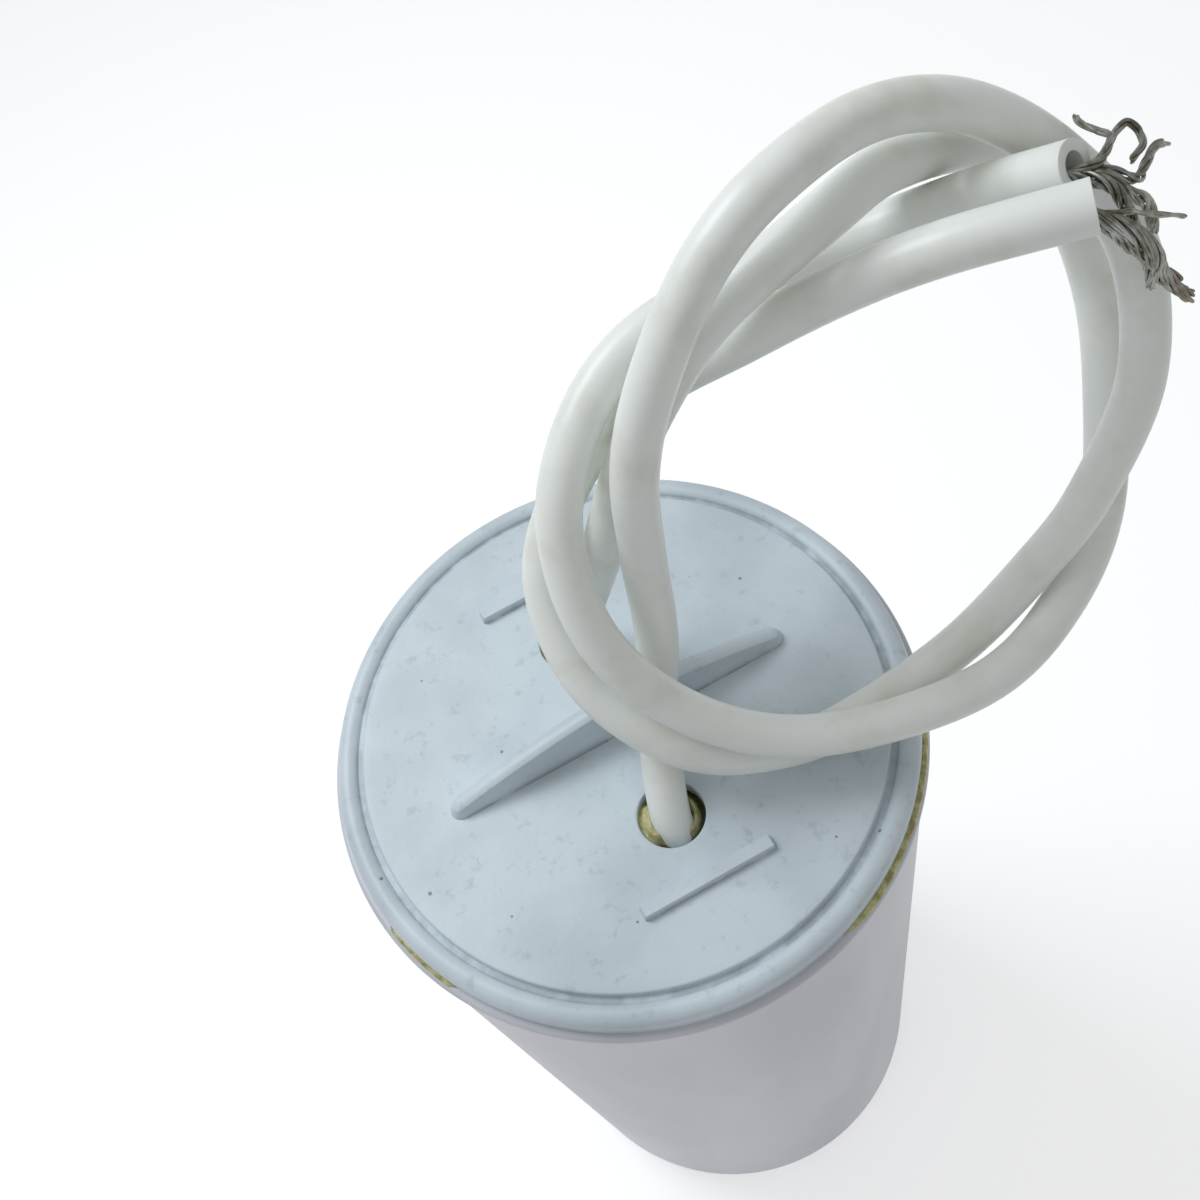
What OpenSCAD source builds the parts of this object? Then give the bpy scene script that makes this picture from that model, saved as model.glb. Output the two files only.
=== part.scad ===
// Motor run capacitor with two flying leads: a plastic can, its lid, the wound film capacitor
// potted inside, and two insulated leads that are looped into a ring and tied by their bare ends.
// Millimetres. The can stands upright, +Z is its axis and z = 0 is the bottom of the can.
// X runs along the barrier rib of the lid, and the two lead holes lie on Y.

/* [Can] */
// Outer diameter of the can
can_d = 45; // [42:0.5:50]
// Height of the can up to its open rim
can_len = 92; // [90:1:120]
// Wall thickness of the can
can_wall = 1.6; // [1.2:0.1:2]
// Thickness of the can's floor
can_floor = 2; // [1.5:0.1:3]
// Radius of the can's bottom edge outside
can_edge_r = 2.5; // [1:0.1:4]
// How far the rolled lip at the rim stands out from the wall
lip_out = 0.3; // [0.1:0.05:0.5]
// Height of the rolled lip
lip_h = 0.8; // [0.6:0.1:1.2]

/* [Lid] */
// Thickness of the lid's flat plate
plate_t = 2; // [1.5:0.1:3]
// Width of the can's rim that the lid leaves open round its bead
ledge_w = 0.3; // [0.2:0.05:0.4]
// Radius of the half-round bead that runs round the lid
bead_r = 0.95; // [0.7:0.05:1.1]
// Width of the groove and bead, measured in from the bead's outer face
bead_band = 2.2; // [2:0.1:3]
// How far the bead's crown lies below the plate
bead_drop = 0.15; // [0.05:0.05:0.4]
// Depth of the groove between the plate and the bead
groove_depth = 0.55; // [0.2:0.05:0.9]
// Depth of the skirt that locates the lid in the can
skirt_h = 4.5; // [3:0.5:6]
// Thickness of the skirt
skirt_t = 1.5; // [1:0.1:2]

/* [Barrier rib and bars] */
// Length of the barrier rib between the two leads
rib_len = 28.4; // [20:0.2:32]
// Height of the barrier rib at its middle
rib_h = 4; // [2:0.1:5]
// Height of the barrier rib at its two ends
rib_end_h = 0.8; // [0.4:0.1:1.5]
// Thickness of the barrier rib's crest
rib_crest = 1.1; // [0.8:0.1:2]
// How far the rib widens at its foot on both sides
rib_foot = 0.3; // [0.1:0.05:0.5]
// How much further its gentle side spreads in the middle
rib_spread = 1.5; // [1:0.1:2.5]
// Length of each of the two low bars
bar_len = 10.4; // [6:0.2:14]
// Width of a low bar
bar_w = 1.1; // [0.8:0.1:2]
// Height of a low bar
bar_h = 0.7; // [0.4:0.1:1.2]
// Distance of a low bar from the middle of the lid
bar_y = 13.7; // [12:0.1:15]

/* [Lead holes] */
// Distance between the two lead holes
lead_pitch = 16.5; // [15.8:0.1:17]
// Diameter of a lead hole
hole_d = 5; // [4.6:0.1:5.5]
// Diameter of a lead over its insulation
lead_d = 3; // [2.6:0.1:3.1]
// Diameter of a lead's stranded copper core
core_d = 1.6; // [1.2:0.1:2]

/* [Winding] */
// Room for resin all round the wound film
roll_gap = 2.4; // [1.8:0.1:5]
// Room between the winding's top and the lid's plate, where the leads are joined
head_room = 12.9; // [11:0.1:20]
// Outer diameter of the winding mandrel
mandrel_d = 8; // [6:0.5:12]
// Bore of the winding mandrel
mandrel_bore = 5.2; // [3:0.2:5.5]
// Thickness of the sprayed zinc on each end face
spray_t = 0.8; // [0.5:0.1:1.2]
// Thickness of the film wrap round the roll
wrap_t = 0.6; // [0.3:0.1:0.7]

/* [Hidden] */
$fn = 96;

// Inside of the can and the levels of its contents
can_r = can_d / 2;
bore_r = can_r - can_wall;
inner_edge_r = max(can_edge_r - can_wall, 0.4);
plate_z = can_len + plate_t;         // upper face of the lid's plate
bead_out_r = can_r - ledge_w;        // outer face of the lid's bead
plate_r = bead_out_r - bead_band;    // edge of the raised plate
pad_t = 3.5;                         // insulating pad under the winding
pad_gap = 0.2;                       // pad to the can's wall
strap_t = 0.5;                       // tinned strap
strap_w = 3;
sleeve_t = 0.25;                     // insulating sleeve on the strap
strap_gap = 0.1;                     // outer wrap to the sleeve
joint_h = 1.5;                       // solder under a lead or on a strap
slot_gap = 0.6;                      // strap to the sides of its slot in the pad
pad_z = can_floor;
pad_top = pad_z + pad_t;
roll_d = 2 * (bore_r - roll_gap);    // wound film
roll_z = pad_top + spray_t;
spray_top = can_len - head_room;
roll_top = spray_top - spray_t;
insulator_t = 1.5;                   // plate between the top spray and the strap
strap_low = pad_top - joint_h - strap_t;
strap_high = spray_top + insulator_t;
strap_y = roll_d / 2 + wrap_t + strap_gap + sleeve_t;
resin_over = 5;                      // potting above the top spray
resin_top = spray_top + resin_over;
skirt_gap = 0.1;                     // skirt to the can's wall
seal_t = 1;                          // depth of the glue in a lead hole
collar_h = 0.6;                      // glue that climbs the lead
collar_t = 0.6;
overlap = 0.3;                       // how deep joined forms run into each other

// Lead routes: offsets from the middle of the lid's plate, in the order in which the lead runs
joint_a_y = -10;
joint_b_y = 8.5;
joint_a_z = spray_top + joint_h - plate_z;
joint_b_z = strap_high + strap_t + joint_h - plate_z;
route_a = [
    [0, joint_a_y, joint_a_z], [0, -10, -9], [0, -10, -5], [0, -8, 0],
    [2.5, -3, 5.5], [4.5, -1, 12], [5.5, 0.5, 19.5], [6.5, 1, 27.5], [9, 2, 33],
    [13.5, 3.5, 38], [18.5, 4.5, 40.5], [25.5, 6, 40], [31.5, 5.5, 37.5], [36, 2.5, 33.5],
    [38.5, -2, 28.5], [37, -6.5, 22], [33, -8.5, 14.5], [29, -9, 9.5], [23, -9.5, 5],
    [15.5, -9.5, 2.5], [9.5, -9, 2.5], [3, -7, 6], [-1, -1.5, 10.5], [-0.5, 4.5, 15.5],
    [4, 7.5, 20.5], [10, 7.5, 25], [16, 4.5, 29.5], [21, 1.5, 33.5], [25.5, -1.5, 36.5],
    [32, -5, 38.5]];
route_b = [
    [0, joint_b_y, joint_b_z], [0, 8.5, -6], [0, 8.5, -3], [0, 8, 0.5],
    [1.5, 6.5, 6.5], [4, 5, 15], [6.5, 4.5, 22], [9.5, 4, 28.5], [14, 4, 33.5],
    [21.5, 4.5, 36], [27, 6, 35.5], [34, 7, 32], [39, 6, 26.5], [40.5, 2.5, 20],
    [39, -2, 15], [35, -8, 10], [29.5, -11.5, 7], [23, -13, 5.5], [14.5, -11.5, 5],
    [8, -9, 6.5], [3, -5.5, 11], [0.5, -1.5, 17], [1.5, 3, 23], [5.5, 6.5, 27],
    [11, 8.5, 29], [18.5, 8.5, 29.5], [25, 6.5, 30.5], [30.5, 3, 33.5], [33.5, -1.5, 37.5]];

// Bare strand bundles beyond the two ends of the insulation, as offsets like the routes
strands_a = [
    [[32, -5, 38.5], [33.5, -5.5, 37.5], [35, -6, 35.5], [36, -6.5, 33.5], [37, -7, 31.5],
     [38.5, -7, 29.5]],
    [[32, -5, 38.5], [33.5, -5, 38], [35.5, -5, 36.5], [37.5, -5, 34.5], [39, -5.5, 33.5]]];
strands_b = [
    [[33.5, -1.5, 37.5], [35, -1.5, 37.5], [36, -0.5, 37.5], [37, 1, 37], [37, 2.5, 36],
     [37.5, 3.5, 35.5]],
    [[33.5, -1.5, 37.5], [35, -2, 37.5], [36.5, -2.5, 36.5], [38, -2, 35.5], [39.5, -1, 35],
     [41, -0.5, 34]],
    [[33.5, -1.5, 37.5], [35, -2.5, 37], [36.5, -3.5, 35.5], [38, -3.5, 33.5], [38.5, -3.5, 31]]];

// ---- functions: a smooth curve through given points, and a tube swept along it ----

// Point at t = 0 to 1 between b and c of a Catmull-Rom curve through a, b, c and d
function blend(a, b, c, d, t) =
    (2 * b + (c - a) * t + (2 * a - 5 * b + 4 * c - d) * t * t
     + (3 * b - a - 3 * c + d) * t * t * t) / 2;

// Point of the curve through pts at u = 0 to 1 of its stretches
function along(pts, u) =
    let (n = len(pts) - 1, s = min(floor(u * n), n - 1), t = u * n - s,
         before = s > 0 ? pts[s - 1] : 2 * pts[0] - pts[1],
         after = s < n - 1 ? pts[s + 2] : 2 * pts[n] - pts[n - 1])
    blend(before, pts[s], pts[s + 1], after, t);

// Line of rings + 1 even steps of u along the curve
function line_of(pts, rings) = [for (i = [0:rings]) along(pts, i / rings)];

function unit(v) = v / norm(v);

// Direction of a line of points at its point i
function heading(line, i) =
    unit(line[min(i + 1, len(line) - 1)] - line[max(i - 1, 0)]);

// Side vectors carried from ring to ring without twist
function sides_along(line, i = 0, side = [1, 0.2, 0], found = []) =
    i == len(line) ? found :
    let (h = heading(line, i), s = unit(side - (side * h) * h))
    sides_along(line, i + 1, s, concat(found, [s]));

// Tube through pts with the diameter d_start at its start and d_end at its end
module tube(pts, d_start, d_end, rings, sides = 8) {
    line = line_of(pts, rings);
    across = sides_along(line);
    points = [for (i = [0:rings], k = [0:sides - 1])
        let (h = heading(line, i), s = across[i], w = cross(h, s), a = 360 * k / sides,
             r = (d_start + (d_end - d_start) * i / rings) / 2)
        line[i] + r * (cos(a) * s + sin(a) * w)];
    walls = [for (i = [0:rings - 1], k = [0:sides - 1])
        let (n = (k + 1) % sides)
        [(i + 1) * sides + k, (i + 1) * sides + n, i * sides + n, i * sides + k]];
    first = [for (k = [0:sides - 1]) k];
    last = [for (k = [sides - 1:-1:0]) rings * sides + k];
    polyhedron(points, concat([first], walls, [last]));
}

// ---- can and lid ----

// Half section of an upright cylinder with a rounded lower edge
module rounded_half(r, h, edge_r) {
    square([r - edge_r, h]);
    translate([0, edge_r]) square([r, h - edge_r]);
    translate([r - edge_r, edge_r]) circle(edge_r, $fn = 48);
}

module case_cup() {
    color("#d5d5de") rotate_extrude()
        difference() {
            union() {
                rounded_half(can_r, can_len, can_edge_r);
                translate([can_r + lip_out - lip_h / 2, can_len - lip_h / 2])
                    circle(lip_h / 2, $fn = 32);
            }
            translate([0, can_floor]) rounded_half(bore_r, can_len, inner_edge_r);
        }
}

// Half section of the skirt that locates the lid in the can
module skirt_half() {
    translate([bore_r - skirt_gap - skirt_t, can_len - skirt_h]) square([skirt_t, skirt_h + overlap]);
}

// Half section of the lid: plate, groove, bead on the can's rim and skirt inside the can
module lid_half() {
    bead_z = plate_z - bead_drop - bead_r;
    square_h = plate_t - groove_depth;
    translate([0, can_len]) square([plate_r, plate_t]);
    translate([0, can_len]) square([bead_out_r - bead_r, square_h]);
    translate([bead_out_r - 2 * bead_r, can_len]) square([2 * bead_r, bead_z - can_len]);
    intersection() {
        translate([bead_out_r - bead_r, bead_z]) circle(bead_r, $fn = 48);
        translate([0, can_len]) square([can_r, plate_t]);
    }
    skirt_half();
}

// Height of the barrier rib's crest at the share s = 0 (middle) to 1 (end)
function crest_at(s) = rib_end_h + (rib_h - rib_end_h) * (1 - pow(s, 1.5));

// Share of the rib's thickness left at s, which closes its ends in a half round
function taper_at(s) =
    let (round_from = 1 - rib_crest / rib_len * 1.6, q = (s - round_from) / (1 - round_from))
    s < round_from ? 1 : sqrt(max(1 - q * q, 0.02));

// One cross-section of the rib: steep on the near side, spreading on the far side
function rib_section(x) =
    let (s = abs(x) * 2 / rib_len, k = taper_at(s), h = crest_at(s), half = rib_crest / 2 * k,
         near = half + rib_foot * k, far = near + rib_spread * k * (1 - s))
    [[x, -near, -overlap], [x, -half, h * 0.85], [x, -half * 0.5, h], [x, half * 0.5, h],
     [x, half, h * 0.88], [x, half + (far - half) * 0.4, h * 0.45], [x, far, -overlap]];

module barrier_rib() {
    n = 24;
    xs = [for (i = [0:n]) -rib_len / 2 * cos(180 * i / n)];
    points = [for (x = xs) each rib_section(x)];
    walls = [for (i = [0:n - 1], k = [0:6])
        [i * 7 + k, i * 7 + (k + 1) % 7, (i + 1) * 7 + (k + 1) % 7, (i + 1) * 7 + k]];
    polyhedron(points, concat([[for (k = [6:-1:0]) k]], walls, [[for (k = [0:6]) n * 7 + k]]));
}

module side_bar() {
    translate([-bar_len / 2, -bar_w / 2, -overlap]) cube([bar_len, bar_w, bar_h + overlap]);
}

module end_cap() {
    color("#d3dfe5") difference() {
        union() {
            rotate_extrude() lid_half();
            translate([0, 0, plate_z]) barrier_rib();
            for (side = [-1, 1]) translate([0, side * bar_y, plate_z]) side_bar();
        }
        for (side = [-1, 1]) translate([0, side * lead_pitch / 2, can_len - 1])
            cylinder(d = hole_d, h = plate_t + 3);
    }
}

// Glue squeezed out on the can's rim beside the bead, from angle a to angle b
module glue_run(a, b, size) {
    rotate([0, 0, a]) rotate_extrude(angle = b - a) translate([bead_out_r, can_len])
        intersection() {
            circle(size, $fn = 32);
            square(size);
        }
}

module seam_glue() {
    color("#c9c990") {
        glue_run(-74, -26, ledge_w + 0.1);
        glue_run(-169, -150, ledge_w);
    }
}

// ---- wound capacitor ----

module ring(d_out, d_in, h) {
    difference() {
        cylinder(d = d_out, h = h);
        translate([0, 0, -1]) cylinder(d = d_in, h = h + 2);
    }
}

module film_winding() {
    color("#c8cdd2") translate([0, 0, roll_z]) ring(roll_d, mandrel_d, roll_top - roll_z);
}

module mandrel_tube() {
    color("#e8e8e0") translate([0, 0, pad_top]) ring(mandrel_d, mandrel_bore, spray_top - pad_top);
}

module outer_wrap() {
    color("#e6e2d0") translate([0, 0, pad_top])
        ring(roll_d + 2 * wrap_t, roll_d, spray_top - pad_top);
}

module end_spray(z) {
    color("#9aa0a4") translate([0, 0, z]) ring(roll_d, mandrel_d, spray_t);
}

module end_spray_bottom() { end_spray(pad_top); }

module end_spray_top() { end_spray(roll_top); }

// Pad on the can's floor, slotted for the strap and its solder
module bottom_pad() {
    slot_w = strap_w + 2 * slot_gap;
    color("#e9e9e9") translate([0, 0, pad_z]) difference() {
        rotate_extrude() rounded_half(bore_r - pad_gap, pad_t, inner_edge_r);
        translate([-slot_w / 2, joint_b_y - strap_w, strap_low - pad_z])
            cube([slot_w, can_r, pad_t]);
    }
}

// Half plate between the top spray and the strap's upper leg
module top_insulator() {
    color("#dfe3ea") translate([0, 0, spray_top]) intersection() {
        cylinder(d = roll_d - 2, h = insulator_t);
        translate([-roll_d / 2, mandrel_d / 2 - 1, -1]) cube([roll_d, roll_d, insulator_t + 2]);
    }
}

// Flat strap from the bottom spray up beside the winding and over its top
module return_strap() {
    leg = strap_y + strap_t - joint_b_y + strap_w / 2;
    color("#b9bcbd") translate([-strap_w / 2, joint_b_y - strap_w / 2, 0]) {
        translate([0, 0, strap_low]) cube([strap_w, leg, strap_t]);
        translate([0, leg - strap_t, strap_low])
            cube([strap_w, strap_t, strap_high + strap_t - strap_low]);
        translate([0, 0, strap_high]) cube([strap_w, leg, strap_t]);
    }
}

module strap_sleeve() {
    color("#d9c9a0") translate([0, strap_y + strap_t / 2, pad_top]) difference() {
        translate([-strap_w / 2 - sleeve_t, -strap_t / 2 - sleeve_t, 0])
            cube([strap_w + 2 * sleeve_t, strap_t + 2 * sleeve_t, spray_top - pad_top]);
        translate([-strap_w / 2, -strap_t / 2, -1])
            cube([strap_w, strap_t, spray_top - pad_top + 2]);
    }
}

// Mound of solder from z = low up to z = high
module solder_mound(y, low, high) {
    color("#c3c6c8") translate([0, y, low])
        cylinder(d1 = lead_d + 1.2, d2 = lead_d - 0.4, h = high - low);
}

module solder_top() { solder_mound(joint_a_y, spray_top, plate_z + joint_a_z); }

module solder_strap_top() { solder_mound(joint_b_y, strap_high + strap_t, plate_z + joint_b_z); }

module solder_strap_bottom() {
    color("#c3c6c8") translate([0, joint_b_y, strap_low + strap_t]) cylinder(d = strap_w, h = joint_h);
}

// ---- leads ----

module lead_tube(route) { translate([0, 0, plate_z]) tube(route, lead_d, lead_d, 39); }

module lead_a() { color("#eef1ec") lead_tube(route_a); }

module lead_b() { color("#eef1ec") lead_tube(route_b); }

module strand_set(bundles) {
    translate([0, 0, plate_z])
        for (b = bundles) tube(b, core_d * 0.75, core_d * 0.3, 8, 6);
}

module bare_end_a() { color("#8d8f86") difference() { strand_set(strands_a); lead_a(); } }

module bare_end_b() { color("#8d8f86") difference() { strand_set(strands_b); lead_b(); } }

// ---- resin ----

// Resin poured round and over the winding, its strap, its joints and the foot of each lead
module potting_resin() {
    color("#b9a15e") difference() {
        translate([0, 0, pad_top]) cylinder(r = bore_r, h = resin_top - pad_top);
        translate([0, 0, pad_top - 1]) cylinder(d = roll_d + 2 * wrap_t, h = spray_top - pad_top + 1);
        top_insulator();
        strap_sleeve();
        return_strap();
        solder_top();
        solder_strap_top();
        lead_a();
        lead_b();
        rotate_extrude() skirt_half();
    }
}

// Sealing glue in a lead hole, with a collar that climbs the lead
module lead_seal(y) {
    color("#c7b25a") translate([0, y, can_len]) {
        cylinder(d = hole_d, h = seal_t);
        cylinder(d = lead_d + 2 * collar_t, h = seal_t + collar_h);
    }
}

module lead_seal_a() { difference() { lead_seal(-lead_pitch / 2); lead_a(); } }

module lead_seal_b() { difference() { lead_seal(lead_pitch / 2); lead_b(); } }

case_cup();
end_cap();
seam_glue();
potting_resin();
bottom_pad();
film_winding();
mandrel_tube();
outer_wrap();
end_spray_bottom();
end_spray_top();
top_insulator();
return_strap();
strap_sleeve();
solder_top();
solder_strap_top();
solder_strap_bottom();
lead_seal_a();
lead_seal_b();
lead_a();
lead_b();
bare_end_a();
bare_end_b();
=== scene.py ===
"""Looks of a motor run capacitor: a moulded can with a ribbed lid, its sealing glue, and two
insulated leads that are looped into a ring and tied by their bare, fanned-out strands.

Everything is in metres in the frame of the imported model: z = 0 is the can's bottom, +Z its axis,
X runs along the lid's barrier rib and the two lead holes lie on Y.
"""

import logging
import math
from dataclasses import dataclass, field
from enum import Enum

import bpy
import numpy as np
from mathutils import Matrix, Vector


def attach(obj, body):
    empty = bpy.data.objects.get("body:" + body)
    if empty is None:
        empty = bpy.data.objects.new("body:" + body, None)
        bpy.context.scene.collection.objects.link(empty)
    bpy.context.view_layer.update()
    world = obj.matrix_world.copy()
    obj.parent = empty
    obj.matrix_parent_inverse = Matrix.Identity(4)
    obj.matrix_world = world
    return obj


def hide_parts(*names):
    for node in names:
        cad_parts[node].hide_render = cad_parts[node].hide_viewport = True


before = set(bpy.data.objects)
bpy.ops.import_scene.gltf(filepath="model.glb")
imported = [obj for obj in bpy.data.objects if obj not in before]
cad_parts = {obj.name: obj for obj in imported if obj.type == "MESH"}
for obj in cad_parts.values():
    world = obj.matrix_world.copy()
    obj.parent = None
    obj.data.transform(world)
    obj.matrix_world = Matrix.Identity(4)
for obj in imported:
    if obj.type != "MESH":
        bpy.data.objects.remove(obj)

LOG = logging.getLogger("capacitor")
MM = 0.001
ROOT = "root"
HUB = 0.2 * MM  # a turned section stops this far from its axis, and a fan closes it


class Slot(str, Enum):
    """Material slots of the record."""

    CASE = "case_plastic"
    LID = "lid_plastic"
    GLUE = "sealing_glue"
    LEAD = "lead_insulation"
    STRANDS = "tinned_strands"


# ---------------------------------------------------------------- numbers and surfaces


def smooth(x: np.ndarray) -> np.ndarray:
    """Smooth step 3x^2 - 2x^3 of x, held between 0 and 1."""
    x = np.clip(x, 0.0, 1.0)
    return x * x * (3.0 - 2.0 * x)


def arc(centre: tuple[float, float], radius: float, start: float, end: float, steps: int) -> np.ndarray:
    """Points (r, z) on a circle.

    Args:
        centre: Centre (r, z) in metres.
        radius: Radius in metres.
        start: First angle in degrees, measured from +r towards +z.
        end: Last angle in degrees.
        steps: Number of steps.

    Returns:
        Array of steps + 1 points.
    """
    angle = np.radians(np.linspace(start, end, steps + 1))
    return np.stack([centre[0] + radius * np.cos(angle), centre[1] + radius * np.sin(angle)], axis=1)


def straight(start: tuple[float, float], end: tuple[float, float], steps: int) -> np.ndarray:
    """Points (r, z) on a straight line, without its last point."""
    share = np.linspace(0.0, 1.0, steps + 1)[:-1, None]
    return np.array(start) * (1.0 - share) + np.array(end) * share


def curve_through(points: np.ndarray, samples: int) -> np.ndarray:
    """Evenly spaced points of a Catmull-Rom curve.

    Between b and c of four neighbours a, b, c and d the curve is half of
    2b + (c - a)t + (2a - 5b + 4c - d)t^2 + (3b - a - 3c + d)t^3, and the ends are mirrored.

    Args:
        points: Route points, shape (n, 3).
        samples: Number of points wanted.

    Returns:
        Array (samples, 3), equal distances apart along the curve.
    """
    given = np.asarray(points, float)
    ends = np.vstack([2 * given[0] - given[1], given, 2 * given[-1] - given[-2]])
    stretches = len(given) - 1
    u = np.linspace(0.0, stretches, stretches * 60 + 1)
    part = np.minimum(u.astype(int), stretches - 1)
    t = (u - part)[:, None]
    a, b, c, d = ends[part], ends[part + 1], ends[part + 2], ends[part + 3]
    fine = (2 * b + (c - a) * t + (2 * a - 5 * b + 4 * c - d) * t**2 + (3 * b - a - 3 * c + d) * t**3) / 2
    way = np.concatenate([[0.0], np.cumsum(np.linalg.norm(np.diff(fine, axis=0), axis=1))])
    wanted = np.linspace(0.0, way[-1], samples)
    return np.stack([np.interp(wanted, way, fine[:, k]) for k in range(3)], axis=1)


def length_of(line: np.ndarray) -> float:
    """Length of a line of points."""
    return float(np.linalg.norm(np.diff(line, axis=0), axis=1).sum())


def carried_frames(line: np.ndarray) -> tuple[np.ndarray, np.ndarray, np.ndarray]:
    """Tangents and two side vectors along a line, carried from point to point without twist.

    Args:
        line: Points, shape (n, 3).

    Returns:
        Tangents, first sides and second sides, each of shape (n, 3).
    """
    tangent = np.gradient(line, axis=0)
    tangent /= np.linalg.norm(tangent, axis=1)[:, None]
    side = np.empty_like(tangent)
    start = np.array([1.0, 0.2, 0.0])
    for i, heading in enumerate(tangent):
        start = start - (start @ heading) * heading
        start /= np.linalg.norm(start)
        side[i] = start
    return tangent, side, np.cross(tangent, side)


class Surface:
    """Vertices and faces of one piece, collected as whole arrays from point grids."""

    def __init__(self) -> None:
        """Starts empty."""
        self.vertices: list[np.ndarray] = []
        self.quads: list[np.ndarray] = []
        self.triangles: list[np.ndarray] = []
        self.values: list[np.ndarray] = []
        self.count = 0

    def add_grid(self, points: np.ndarray, ring: bool = True, capped: bool = True,
                 value: np.ndarray | None = None) -> None:
        """Adds a grid of points as a closed or open patch.

        Args:
            points: Shape (rows, columns, 3).
            ring: True if the last column joins the first.
            capped: True to close the first and the last row with a fan.
            value: Optional number for every point, shape (rows, columns).
        """
        rows, columns = points.shape[:2]
        index = self.count + np.arange(rows * columns).reshape(rows, columns)
        wide = np.hstack([index, index[:, :1]]) if ring else index
        corners = [wide[:-1, :-1], wide[:-1, 1:], wide[1:, 1:], wide[1:, :-1]]
        self.quads.append(np.stack(corners, axis=-1).reshape(-1, 4))
        self.vertices.append(points.reshape(-1, 3))
        level = np.zeros((rows, columns)) if value is None else value
        self.values.append(level.reshape(-1))
        self.count += rows * columns
        if capped:
            for row, turned in ((0, True), (rows - 1, False)):
                hub = np.full(columns, self.count)
                rim, after = index[row], np.roll(index[row], -1)
                fan = (hub, after, rim) if turned else (hub, rim, after)
                self.triangles.append(np.stack(fan, axis=1))
                self.vertices.append(points[row].mean(axis=0)[None])
                self.values.append(level[row].mean()[None])
                self.count += 1

    def to_object(self, name: str, sharp_from: float = 35.0) -> bpy.types.Object:
        """Makes the mesh object, with its faces turned outwards.

        The signed volume, the sum of a . (b x c) / 6 over all triangles, tells which way they point.

        Args:
            name: Name of the piece.
            sharp_from: Edges steeper than this many degrees stay crisp.

        Returns:
            The object, linked to the scene, at the origin.
        """
        points = np.vstack(self.vertices)
        quads = np.vstack(self.quads)
        triangles = np.vstack(self.triangles) if self.triangles else np.empty((0, 3), int)
        halves = np.vstack([quads[:, :3], quads[:, [0, 2, 3]], triangles])
        a, b, c = points[halves[:, 0]], points[halves[:, 1]], points[halves[:, 2]]
        if np.einsum("ij,ij->", a, np.cross(b, c)) < 0:
            quads, triangles = quads[:, ::-1], triangles[:, ::-1]
        mesh = bpy.data.meshes.new(name)
        mesh.vertices.add(len(points))
        mesh.vertices.foreach_set("co", points.astype(np.float32).ravel())
        corners = np.concatenate([quads.ravel(), triangles.ravel()]).astype(np.int32)
        mesh.loops.add(len(corners))
        mesh.loops.foreach_set("vertex_index", corners)
        mesh.polygons.add(len(quads) + len(triangles))
        starts = np.concatenate([np.arange(len(quads)) * 4, len(quads) * 4 + np.arange(len(triangles)) * 3])
        mesh.polygons.foreach_set("loop_start", starts.astype(np.int32))
        mesh.update(calc_edges=True)
        mesh.validate()
        mesh.polygons.foreach_set("use_smooth", np.ones(len(mesh.polygons), bool))
        mesh.set_sharp_from_angle(angle=math.radians(sharp_from))
        shade = mesh.attributes.new("shade", "FLOAT", "POINT")
        shade.data.foreach_set("value", np.concatenate(self.values).astype(np.float32))
        piece = bpy.data.objects.new(name, mesh)
        bpy.context.scene.collection.objects.link(piece)
        return piece


def revolved(profile: np.ndarray, steps: int) -> np.ndarray:
    """Grid of a profile (r, z) turned about Z: x = r cos a, y = r sin a."""
    angle = np.linspace(0.0, 2 * np.pi, steps, endpoint=False)
    radius, height = profile[:, :1], profile[:, 1:]
    return np.stack([radius * np.cos(angle), radius * np.sin(angle), height + 0 * angle], axis=-1)


def swept(line: np.ndarray, radius: np.ndarray, sides: int) -> np.ndarray:
    """Grid of a tube: point = line + radius (cos a side + sin a other side), one ring a row."""
    _, side, other = carried_frames(line)
    angle = np.linspace(0.0, 2 * np.pi, sides, endpoint=False)[None, :, None]
    round_about = np.cos(angle) * side[:, None] + np.sin(angle) * other[:, None]
    return line[:, None] + np.asarray(radius).reshape(-1, 1, 1) * round_about


def block_under(top: np.ndarray, level: float, shade: np.ndarray, axis: int) -> Surface:
    """Solid between a height field and a flat underside.

    Args:
        top: Points of the height field, shape (rows, columns, 3).
        level: Height of the underside.
        shade: Number for every point of the field; the underside has 0.
        axis: Axis of the grid along which the underside follows the top.

    Returns:
        The closed surface.
    """
    low = top.copy()
    low[..., 2] = level
    surface = Surface()
    surface.add_grid(np.concatenate([top, np.flip(low, axis)], axis=axis),
                     value=np.concatenate([shade, 0 * shade], axis=axis))
    return surface


# ---------------------------------------------------------------- finishes

Socket = bpy.types.NodeSocket


def linear(colour: str) -> tuple[float, float, float, float]:
    """Linear RGBA of an sRGB hex colour such as "#d5d5de"."""
    levels = [int(colour[i:i + 2], 16) / 255 for i in (1, 3, 5)]
    return (*[v / 12.92 if v <= 0.04045 else ((v + 0.055) / 1.055) ** 2.4 for v in levels], 1.0)


def add_node(tree: bpy.types.NodeTree, kind: str, inputs: dict | None = None, **settings) -> bpy.types.Node:
    """Adds one node with its settings and links.

    Args:
        tree: The node tree.
        kind: Blender's name of the node type, without the word ShaderNode.
        inputs: Input name or number to a value, or to an output that is linked to it.
        settings: The node's own properties.

    Returns:
        The new node.
    """
    node = tree.nodes.new("ShaderNode" + kind)
    for key, setting in settings.items():
        setattr(node, key, setting)
    for key, given in (inputs or {}).items():
        if isinstance(given, bpy.types.NodeSocket):
            tree.links.new(given, node.inputs[key])
        else:
            node.inputs[key].default_value = given
    return node


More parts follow.
